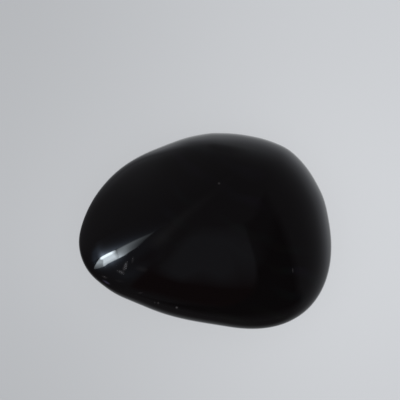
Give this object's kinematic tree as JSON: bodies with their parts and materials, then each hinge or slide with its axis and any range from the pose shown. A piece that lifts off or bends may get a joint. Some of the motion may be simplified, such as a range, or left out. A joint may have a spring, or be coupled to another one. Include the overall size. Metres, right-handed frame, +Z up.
{
  "type": "obsidian palm stone",
  "caption": "Polished black obsidian palm stone: a rounded pebble with a thin nose, a soft ridge across its crown and a flat to rest on.",
  "frame": {"origin": "middle of the footprint's box, on the surface that the stone rests on", "axes": "+X along the length to the wide end, -X to the thin nose, +Y across the width to the ridge slope, +Z up out of the crown"},
  "size_m": [0.0802, 0.0622, 0.0303],
  "materials": {
    "obsidian": "black volcanic glass, ground and polished to a high gloss, opaque at this thickness"
  },
  "bodies": {
    "root": {"palm_stone": "obsidian"}
  },
  "joints": []
}
